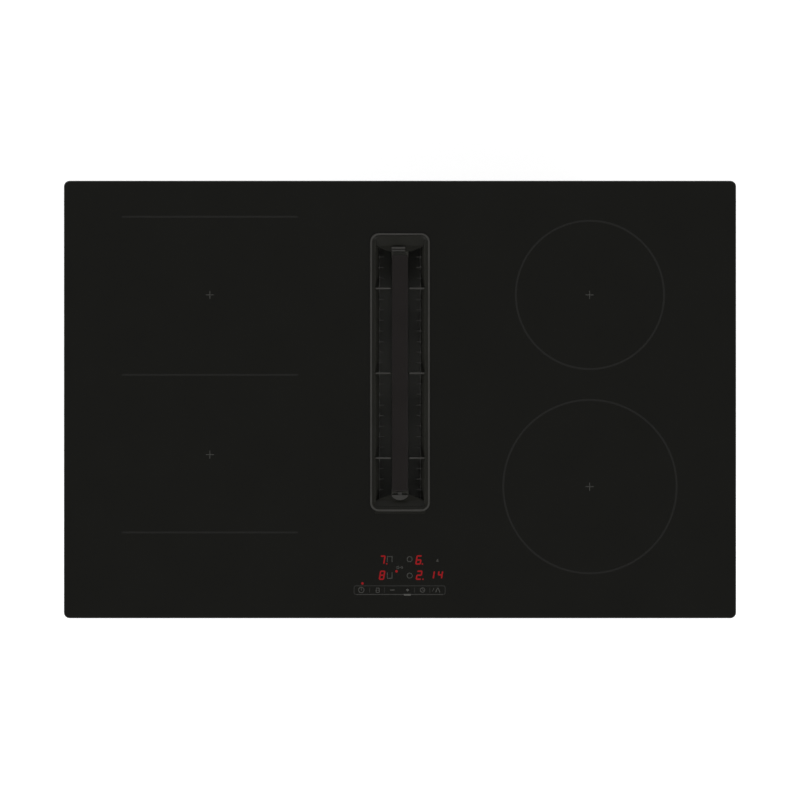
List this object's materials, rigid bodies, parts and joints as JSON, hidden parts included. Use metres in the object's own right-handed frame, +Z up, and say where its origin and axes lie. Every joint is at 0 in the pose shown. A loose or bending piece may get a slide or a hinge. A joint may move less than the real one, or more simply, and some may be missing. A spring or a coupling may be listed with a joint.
{
  "type": "downdraft induction cooktop",
  "caption": "Flat black glass hob with a long air inlet in its middle, coils and electronics in a tray below, and a fan module with a flat rear duct.",
  "frame": {"origin": "centre of the glass on the plane of the worktop that the seal lies on", "axes": "+X to the right, +Y to the rear, +Z up; the controls are at the front"},
  "size_m": [0.802, 0.522, 0.223],
  "materials": {
    "glass_ceramic": "polished black glass ceramic, opaque",
    "seal_foam": "matt black foam and rubber",
    "silicone": "matt silicone",
    "frame_steel": "black painted steel",
    "tray_steel": "galvanised steel sheet",
    "screw_steel": "zinc plated steel",
    "grille_black": "fine matt moulded black plastic",
    "bar_black": "fine matt moulded black plastic",
    "filter_plastic": "dark grey moulded plastic",
    "filter_metal": "expanded aluminium mesh",
    "coil_copper": "enamelled copper wire",
    "carrier_plastic": "natural heat resistant plastic",
    "ferrite": "sintered ferrite",
    "mica": "mica sheet",
    "sensor_ceramic": "ceramic",
    "shield_aluminium": "rolled aluminium sheet",
    "circuit_board": "green solder mask",
    "sink_aluminium": "extruded aluminium",
    "component_black": "black moulded plastic",
    "component_yellow": "film capacitor casing",
    "display_red": "red display lens",
    "duct_plastic": "dark moulded plastic",
    "casing_plastic": "dark moulded plastic with a fine grain",
    "impeller_plastic": "grey moulded plastic",
    "motor_metal": "cast aluminium",
    "container_plastic": "translucent grey plastic"
  },
  "bodies": {
    "root": {"glass_top": "glass_ceramic", "worktop_seal": "seal_foam", "glass_adhesive": "silicone", "support_frame": "frame_steel", "base_tray": "tray_steel", "tray_screws": "screw_steel", "inlet_gasket": "seal_foam", "inlet_shaft": "duct_plastic", "coil_left_rear": "coil_copper", "coil_left_front": "coil_copper", "coil_right_rear": "coil_copper", "coil_right_front": "coil_copper", "coil_carriers": "carrier_plastic", "ferrite_bars": "ferrite", "mica_discs": "mica", "temperature_sensors": "sensor_ceramic", "coil_supports": "silicone", "shield_left": "shield_aluminium", "shield_right": "shield_aluminium", "power_board_left": "circuit_board", "power_board_right": "circuit_board", "heat_sink_left": "sink_aluminium", "heat_sink_right": "sink_aluminium", "power_transistors": "component_black", "board_capacitors": "component_yellow", "board_spacers": "carrier_plastic", "cooling_fan_housing_left": "component_black", "cooling_fan_housing_right": "component_black", "mains_board": "circuit_board", "terminal_block": "carrier_plastic", "cable_gland": "duct_plastic", "touch_board": "circuit_board", "display_modules": "display_red", "touch_springs": "screw_steel", "control_holder": "carrier_plastic", "module_upper_casing": "casing_plastic", "module_lower_casing": "casing_plastic", "fan_deck": "duct_plastic", "scroll_wall": "duct_plastic", "motor_stator": "coil_copper", "motor_bearings": "screw_steel", "motor_mount": "motor_metal", "motor_bushes": "seal_foam", "casing_screws": "screw_steel", "module_screws": "screw_steel", "duct_connector": "duct_plastic", "container_seal": "seal_foam"},
    "drip_unit": {"drip_tray": "filter_plastic"},
    "filter_unit": {"filter_frame": "filter_plastic", "filter_mesh_left": "filter_metal", "filter_mesh_right": "filter_metal"},
    "grille_unit": {"inlet_grille": "grille_black", "centre_bar": "bar_black"},
    "overflow_unit": {"overflow_container": "container_plastic"},
    "fan_rotor": {"impeller": "impeller_plastic", "motor_rotor": "motor_metal", "motor_shaft": "screw_steel"},
    "cooling_rotor_left": {"cooling_fan_rotor_left": "component_black"},
    "cooling_rotor_right": {"cooling_fan_rotor_right": "component_black"}
  },
  "joints": [
    {"name": "drip_tray_lift", "type": "slide", "parent": "root", "child": "drip_unit", "axis": [0, 0, 1], "range_m": [0, 0.1245]},
    {"name": "filter_lift", "type": "slide", "parent": "drip_unit", "child": "filter_unit", "axis": [0, 0, 1], "range_m": [0, 0.0845]},
    {"name": "grille_lift", "type": "slide", "parent": "filter_unit", "child": "grille_unit", "axis": [0, 0, 1], "range_m": [0, 0.031]},
    {"name": "overflow_container_slide", "type": "slide", "parent": "root", "child": "overflow_unit", "axis": [0, -1, 0], "range_m": [0, 0.19]},
    {"name": "impeller_spin", "type": "hinge", "parent": "root", "child": "fan_rotor", "pos_m": [0.135, -0.02, -0.18755], "axis": [0, 0, 1], "continuous": true},
    {"name": "cooling_fan_left_spin", "type": "hinge", "parent": "root", "child": "cooling_rotor_left", "pos_m": [-0.3, -0.168, -0.0465], "axis": [0, 0, 1], "continuous": true},
    {"name": "cooling_fan_right_spin", "type": "hinge", "parent": "root", "child": "cooling_rotor_right", "pos_m": [0.3, -0.168, -0.0465], "axis": [0, 0, 1], "continuous": true}
  ]
}
